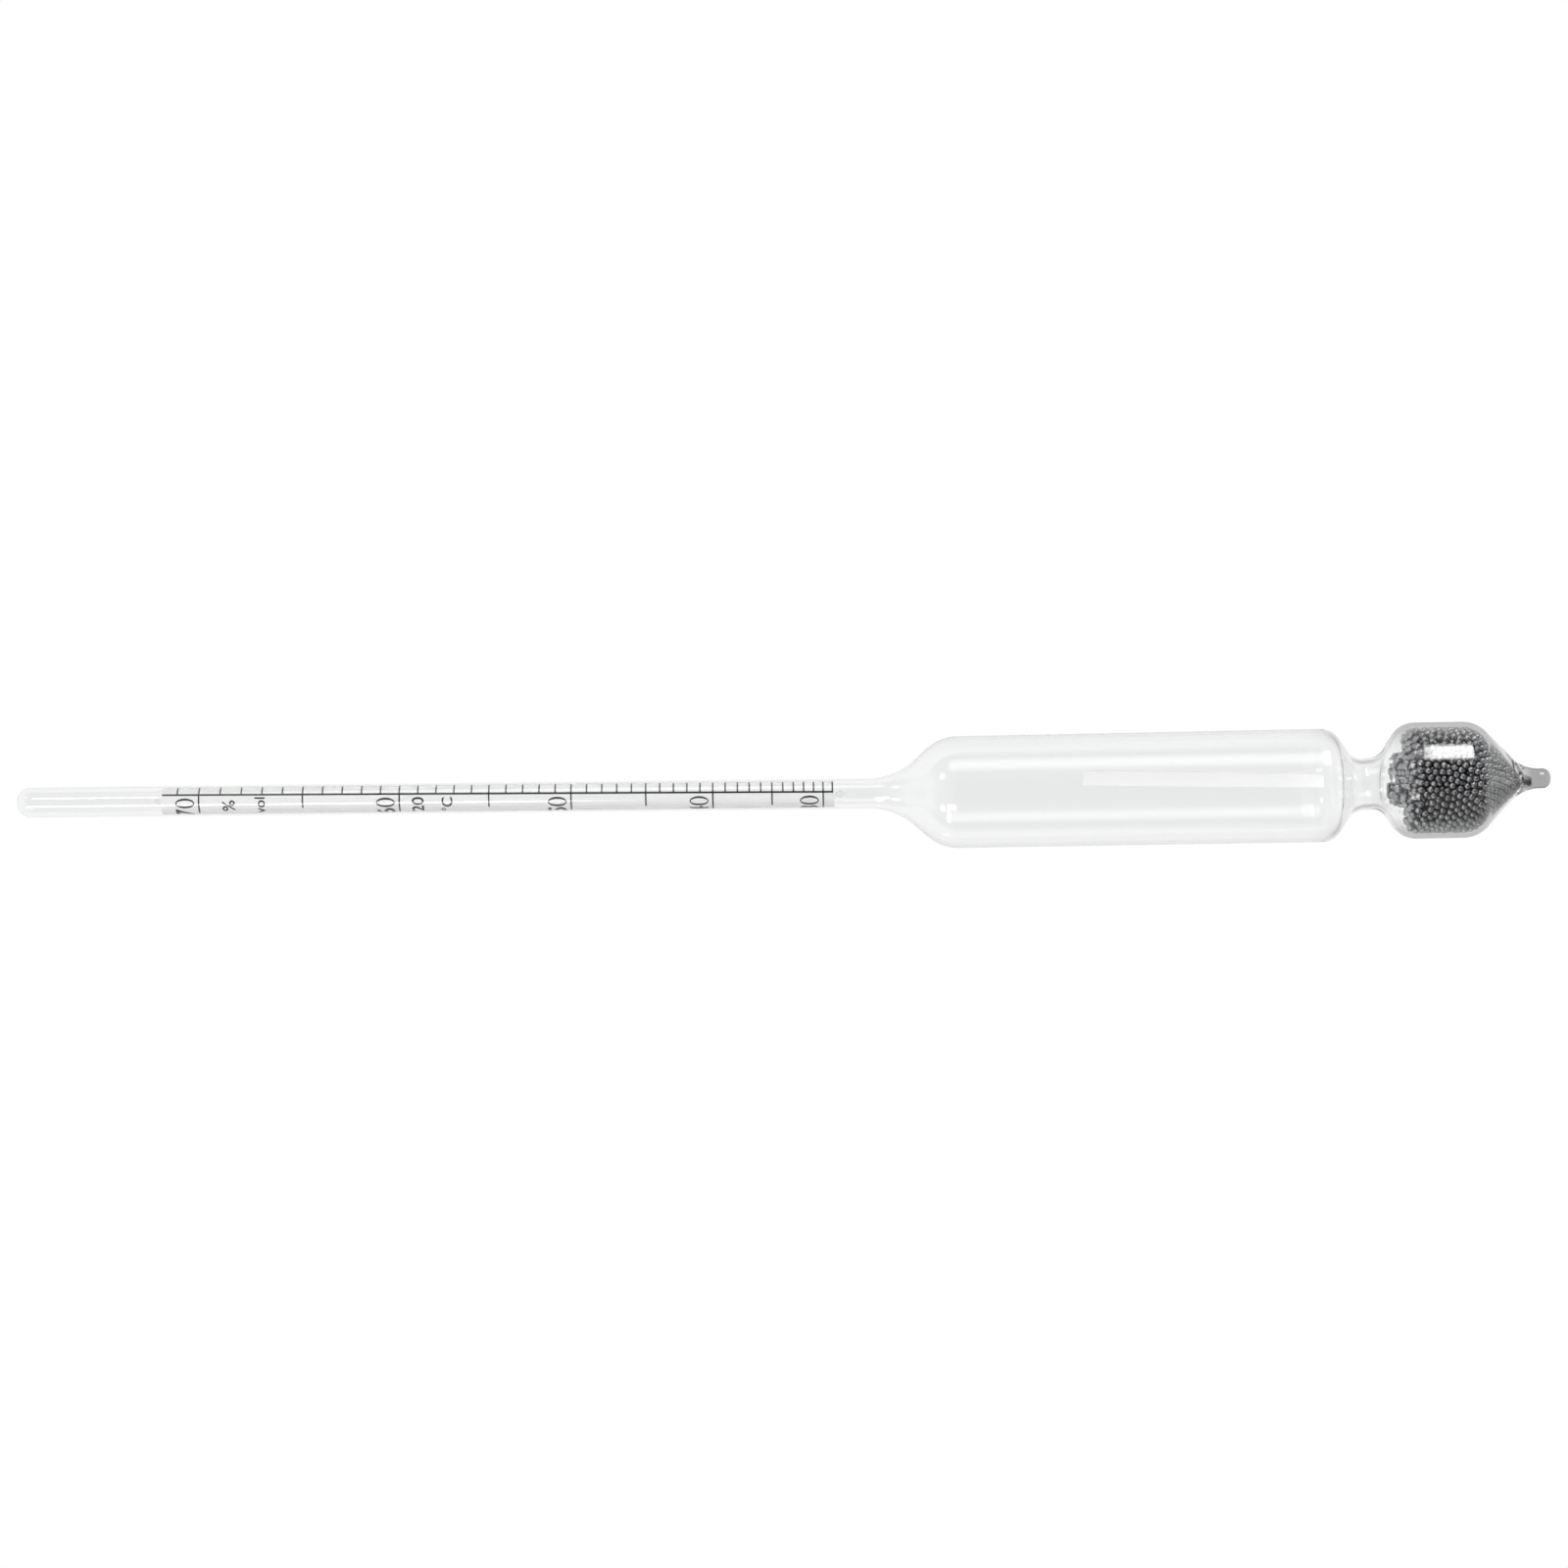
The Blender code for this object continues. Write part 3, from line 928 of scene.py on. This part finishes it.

# The floor's painted light through the glass: a bright runner under the axis and a dimmer sweep beside it,
# which fades further over this stretch of X, along the neck, as painted shade for the bulb's shadow
FLOOR_SIDE = 14.0
FLOOR_DROP = 0.3 * MM
RUNNER_GLOW = 0.965
RUNNER_HALF = 6.5 * MM
SWEEP_GLOW = 0.87
SWEEP_START = 13.5 * MM
PAINTED_BULB_SHADE_GLOW = 0.56
PAINTED_BULB_SHADE_FADE = (0.098, 0.110)

# The room: dim all round, with a dark round patch overhead and a brighter end by the stem, which grows
# between these two X values of a unit direction
DARK_PATCH = (0.25, 0.17, 0.95)
PATCH_CORE = math.cos(math.radians(20))
PATCH_EDGE = math.cos(math.radians(46))
PATCH_GLOW = 0.04
STUDIO_GLOW = 0.28
STEM_END = (-0.1, -0.9)
STEM_END_GLOW = 0.5

# The fill lamp stands for the room's even light on matt surfaces
FILL_STRENGTH = 2.30
FILL_SPREAD = math.radians(50)
FILL_LEAN = math.radians(-30)
FILL_PLACE = (-0.4, 0, 0.6)

# The gloss lamps: two turns from straight up, the bulb's place along X and the usual distance from the axis
KEY_TURN = 59
NEAR_TURN = -33
BULB_X = 0.12
LAMP_DISTANCE = 0.70


def studio_floor():
    """A lit sweep: white in view, with a painted bright runner under the glass for what the glass bends and
    painted shade by the bulb.
    """
    mesh = bpy.data.meshes.new("studio_floor")
    half = FLOOR_SIDE / 2
    corners = [(-half, -half, 0), (half, -half, 0), (half, half, 0), (-half, half, 0)]
    mesh.from_pydata(corners, [], [(0, 1, 2, 3)])
    floor = bpy.data.objects.new("studio_floor", mesh)
    floor.location.z = -FLOOR_DROP
    bpy.context.scene.collection.objects.link(floor)
    made, nodes, links, matt = new_material("studio_white")
    nodes.remove(matt)
    made.cycles.emission_sampling = "NONE"
    place = nodes.new("ShaderNodeTexCoord")
    split = nodes.new("ShaderNodeSeparateXYZ")
    links.new(place.outputs["Object"], split.inputs["Vector"])
    # Painted shade: the sweep's glow drops along the neck, so the floor around the bulb reads as in its
    # shadow
    sweep = nodes.new("ShaderNodeMapRange")
    set_inputs(sweep, From_Min=PAINTED_BULB_SHADE_FADE[0], From_Max=PAINTED_BULB_SHADE_FADE[1])
    set_inputs(sweep, To_Min=SWEEP_GLOW, To_Max=PAINTED_BULB_SHADE_GLOW)
    links.new(split.outputs["X"], sweep.inputs["Value"])
    off_axis = math_node(nodes, links, "SUBTRACT", split.outputs["Y"], FLOAT_Y)
    # Painted light: the runner under the axis glows brighter than the sweep beside it
    tone = nodes.new("ShaderNodeMapRange")
    tone.interpolation_type = "SMOOTHSTEP"
    set_inputs(tone, From_Min=RUNNER_HALF, From_Max=SWEEP_START, To_Min=RUNNER_GLOW)
    links.new(math_node(nodes, links, "ABSOLUTE", off_axis), tone.inputs["Value"])
    links.new(sweep.outputs["Result"], tone.inputs["To Max"])
    runner = white_glow(nodes)
    links.new(tone.outputs["Result"], runner.inputs["Strength"])
    seen = nodes.new("ShaderNodeLightPath").outputs["Is Camera Ray"]
    both = shader_mix(nodes, links, seen, runner.outputs["Emission"], white_glow(nodes).outputs["Emission"])
    links.new(both, nodes["Material Output"].inputs["Surface"])
    mesh.materials.append(made)
    return floor


def studio_world():
    """A dim studio with a dark patch overhead, where the camera stands. The backdrop is white in view."""
    world = bpy.data.worlds.new("studio")
    bpy.context.scene.world = world
    world.use_nodes = True
    world.cycles.sampling_method = "NONE"
    nodes, links = world.node_tree.nodes, world.node_tree.links
    nodes.clear()
    place = nodes.new("ShaderNodeTexCoord")
    toward = nodes.new("ShaderNodeVectorMath")
    toward.operation = "DOT_PRODUCT"
    toward.inputs[1].default_value = Vector(DARK_PATCH).normalized()
    links.new(place.outputs["Generated"], toward.inputs[0])
    patch = nodes.new("ShaderNodeMapRange")
    patch.interpolation_type = "SMOOTHSTEP"
    set_inputs(patch, From_Min=PATCH_EDGE, From_Max=PATCH_CORE, To_Min=STUDIO_GLOW, To_Max=PATCH_GLOW)
    links.new(toward.outputs["Value"], patch.inputs["Value"])
    split = nodes.new("ShaderNodeSeparateXYZ")
    links.new(place.outputs["Generated"], split.inputs["Vector"])
    stem_end = nodes.new("ShaderNodeMapRange")
    set_inputs(stem_end, From_Min=STEM_END[0], From_Max=STEM_END[1], To_Min=0.0, To_Max=STEM_END_GLOW)
    links.new(split.outputs["X"], stem_end.inputs["Value"])
    room = nodes.new("ShaderNodeBackground")
    total = math_node(nodes, links, "ADD", stem_end.outputs["Result"], patch.outputs["Result"])
    links.new(total, room.inputs["Strength"])
    backdrop = nodes.new("ShaderNodeBackground")
    set_inputs(backdrop, Color=(1, 1, 1, 1), Strength=1.0)
    seen = nodes.new("ShaderNodeLightPath").outputs["Is Camera Ray"]
    both = shader_mix(nodes, links, seen, room.outputs["Background"], backdrop.outputs["Background"])
    links.new(both, nodes.new("ShaderNodeOutputWorld").inputs["Surface"])


def soft_edges(tree, edges):
    """Fades a lamp towards the edges of its rectangle, over these shares of its length and height."""
    nodes, links = tree.nodes, tree.links
    place = nodes.new("ShaderNodeNewGeometry")
    split = nodes.new("ShaderNodeSeparateXYZ")
    links.new(place.outputs["Parametric"], split.inputs["Vector"])
    fades = []
    for axis, edge in zip("XY", edges):
        centred = math_node(nodes, links, "SUBTRACT", split.outputs[axis], 0.5)
        fade = nodes.new("ShaderNodeMapRange")
        fade.interpolation_type = "SMOOTHSTEP"
        set_inputs(fade, From_Min=0.5, From_Max=0.5 - edge, To_Min=0.0, To_Max=1.0)
        links.new(math_node(nodes, links, "ABSOLUTE", centred), fade.inputs["Value"])
        fades.append(fade.outputs["Result"])
    links.new(math_node(nodes, links, "MULTIPLY", *fades), nodes["Emission"].inputs["Strength"])


def softbox(name, toward, aim_x, length, height, radiance, distance=LAMP_DISTANCE, edges=(0.2, 0.45)):
    """A soft-edged rectangular lamp for gloss, this far from a point of the glass axis."""
    away = Vector(toward).normalized()
    data = bpy.data.lights.new(name, "AREA")
    data.shape = "RECTANGLE"
    data.size = length
    data.size_y = height
    data.energy = radiance * math.pi * length * height
    data.use_nodes = True
    soft_edges(data.node_tree, edges)
    obj = bpy.data.objects.new(name, data)
    obj.location = Vector((aim_x, FLOAT_Y, AXIS_Z)) + distance * away
    obj.rotation_euler = away.to_track_quat("Z", "Y").to_euler()
    obj.visible_camera = False
    obj.visible_diffuse = False
    bpy.context.scene.collection.objects.link(obj)
    return obj


def light_only(lamp, *pieces):
    """Lets a lamp light these pieces and nothing else."""
    lit = bpy.data.collections.new(lamp.name + "_lights")
    for piece in pieces:
        lit.objects.link(bpy.data.objects[piece])
    lamp.light_linking.receiver_collection = lit


def across(degrees):
    """A direction square to the glass axis, at an angle from straight up that is positive towards +Y."""
    lean = math.radians(degrees)
    return (0, math.sin(lean), math.cos(lean))


def fill_lamp():
    """Even light on matt surfaces, from over the stem's end. It is left out of reflections."""
    data = bpy.data.lights.new("studio_fill", "SUN")
    data.energy = FILL_STRENGTH
    data.angle = FILL_SPREAD
    data.cycles.use_multiple_importance_sampling = False
    obj = bpy.data.objects.new("studio_fill", data)
    obj.rotation_euler = (0, FILL_LEAN, 0)
    obj.location = FILL_PLACE
    obj.visible_camera = False
    obj.visible_glossy = False
    obj.visible_transmission = False
    bpy.context.scene.collection.objects.link(obj)


def studio_lights():
    """The fill, the lamps whose gloss shows on the glass and the paper, and three for the balls alone."""
    fill_lamp()
    softbox("key_box", across(KEY_TURN), aim_x=0.03, length=0.62, height=0.50, radiance=1.7)
    bulb_box = softbox(
        "bulb_box",
        across(KEY_TURN),
        aim_x=0.278,
        length=0.14,
        height=0.46,
        radiance=11.0,
        distance=0.66,
        edges=(0.35, 0.25),
    )
    light_only(bulb_box, "glass_envelope")
    softbox(
        "near_strip",
        across(NEAR_TURN),
        aim_x=-0.22,
        length=0.34,
        height=0.20,
        radiance=5.0,
        edges=(0.2, 0.3),
    )
    for name, side, radiance in (("spot_up", 0.47, 7.0), ("spot_down", -0.47, 8.0)):
        toward = (-0.71, side, 0.53)
        softbox(name, toward, BULB_X, length=0.19, height=0.19, radiance=radiance, edges=(0.5, 0.5))
    tip_end = softbox(
        "tip_end_box",
        (1, 0, 0),
        BULB_X,
        length=0.9,
        height=0.7,
        radiance=0.75,
        distance=0.5,
        edges=(0.3, 0.3),
    )
    light_only(tip_end, "glass_envelope")
    for name, toward, radiance in (
        ("shot_lamp_left", (-0.8, 0, 0.7), 1.7),
        ("shot_lamp_up", (-0.1, 0.8, 0.7), 1.5),
        ("shot_lamp_down", (-0.1, -0.8, 0.7), 1.4),
    ):
        lamp = softbox(name, toward, BULB_X, length=0.5, height=0.5, radiance=radiance, distance=0.6)
        lamp.data.cycles.use_multiple_importance_sampling = False
        light_only(lamp, *BALL_PIECES)


def studio_camera():
    """A long lens straight above, turned a little, and plain output with room for deep paths in glass."""
    scene = bpy.context.scene
    data = bpy.data.cameras.new("studio_camera")
    data.lens = CAMERA_LENS
    data.sensor_width = SENSOR
    data.clip_start = NEAR_CLIP
    data.clip_end = FAR_CLIP
    camera = bpy.data.objects.new("studio_camera", data)
    camera.location = (0, VIEW_Y, AXIS_Z + VIEW_WIDTH * CAMERA_LENS / SENSOR)
    camera.rotation_euler = (0, 0, VIEW_TURN)
    scene.collection.objects.link(camera)
    scene.camera = camera
    scene.view_settings.view_transform = "Standard"
    scene.view_settings.look = "None"
    scene.view_settings.exposure = 0
    scene.view_settings.gamma = 1
    scene.cycles.max_bounces = LIGHT_BOUNCES
    scene.cycles.transmission_bounces = LIGHT_BOUNCES
    scene.cycles.transparent_max_bounces = LIGHT_BOUNCES


def glue_dabs(finish):
    """The two dabs of glue keep their CAD shape and take a clear finish."""
    for name in ("scale_glue_top", "scale_glue_bottom"):
        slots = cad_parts[name].data.materials
        slots.clear()
        slots.append(finish)


glass_envelope(clear_glass())
rolled_paper(paper_finish("scale_paper_fine", SCALE_LIGHT, SCALE_DARK))
printed_scale(print_ink())
paper_strip(paper_finish("slip_paper_plain", SLIP_LIGHT, SLIP_DARK))
ballast(shot_finish())
glue_dabs(dried_glue())
studio_floor()
studio_world()
studio_lights()
studio_camera()
